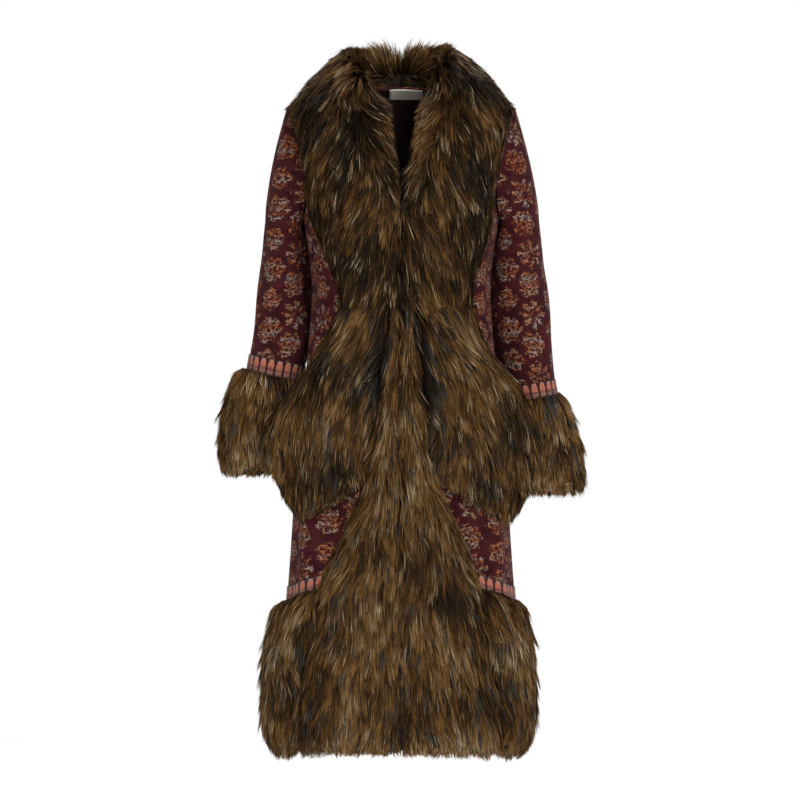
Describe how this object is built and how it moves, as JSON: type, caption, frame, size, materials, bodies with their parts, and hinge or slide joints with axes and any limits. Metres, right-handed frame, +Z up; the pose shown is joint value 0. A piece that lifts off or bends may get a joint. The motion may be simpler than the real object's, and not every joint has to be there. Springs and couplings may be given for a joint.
{
  "type": "long coat",
  "caption": "Long wine jacquard knit coat with long brown fur at the shawl collar, front bands, hips, cuffs and hem, filled out as when worn.",
  "frame": {"origin": "the middle of the neck, level with the neck seam at the nape", "axes": "+Z up along the wearer's back, +Y towards the wearer's back, -Y is the front of the coat, +X towards the wearer's left"},
  "size_m": [0.659, 0.3587, 1.2761],
  "materials": {
    "knit_wine": "matte brushed jacquard knit",
    "fur_brown": "long soft fur pile with a light sheen",
    "border_salmon": "matte patterned knit border",
    "lining_wine": "smooth satin lining",
    "label_offwhite": "plain woven label"
  },
  "bodies": {
    "root": {"back_panel": "knit_wine", "front_right": "knit_wine", "front_left": "knit_wine", "sleeve_right": "knit_wine", "sleeve_left": "knit_wine", "lining_back": "lining_wine", "neck_label": "label_offwhite", "collar_right": "fur_brown", "collar_left": "fur_brown", "front_band_right": "fur_brown", "front_band_left": "fur_brown", "hip_fur_right": "fur_brown", "hip_fur_left": "fur_brown", "hem_border_right": "border_salmon", "hem_border_left": "border_salmon", "hem_border_back": "border_salmon", "hem_fur_right": "fur_brown", "hem_fur_left": "fur_brown", "hem_fur_back": "fur_brown", "cuff_border_right": "border_salmon", "cuff_border_left": "border_salmon", "cuff_fur_right": "fur_brown", "cuff_fur_left": "fur_brown"}
  },
  "joints": []
}
